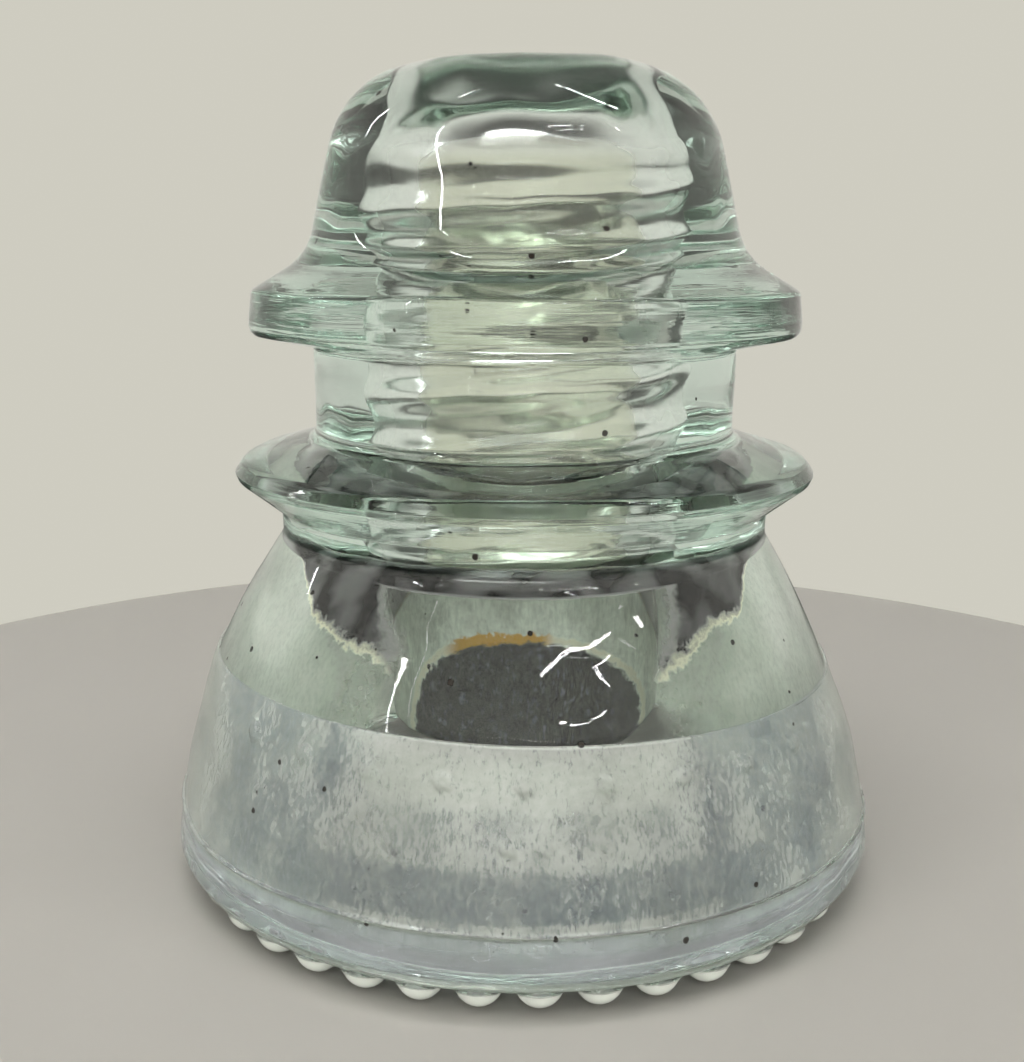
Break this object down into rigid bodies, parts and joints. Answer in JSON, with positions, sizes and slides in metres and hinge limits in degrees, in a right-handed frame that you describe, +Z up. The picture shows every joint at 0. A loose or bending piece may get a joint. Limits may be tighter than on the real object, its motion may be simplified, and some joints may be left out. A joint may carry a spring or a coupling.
{
  "type": "glass pin insulator",
  "caption": "One-piece pressed glass pin insulator: domed top, side wire groove between two ridges, bell-shaped skirt with inner petticoat, drip points and a threaded pin hole.",
  "frame": {"origin": "on the pin hole's axis, at the level of the lowest points of the drip row, where the insulator stands", "axes": "+Z up along the pin hole towards the dome; -Y is the side seen in the picture"},
  "size_m": [0.0858, 0.0856, 0.0954],
  "materials": {
    "aqua_glass": "pressed glass, fire polished, pale ice green, slight waviness, seeds and dirt specks"
  },
  "bodies": {
    "root": {"glass_insulator": "aqua_glass"}
  },
  "joints": []
}
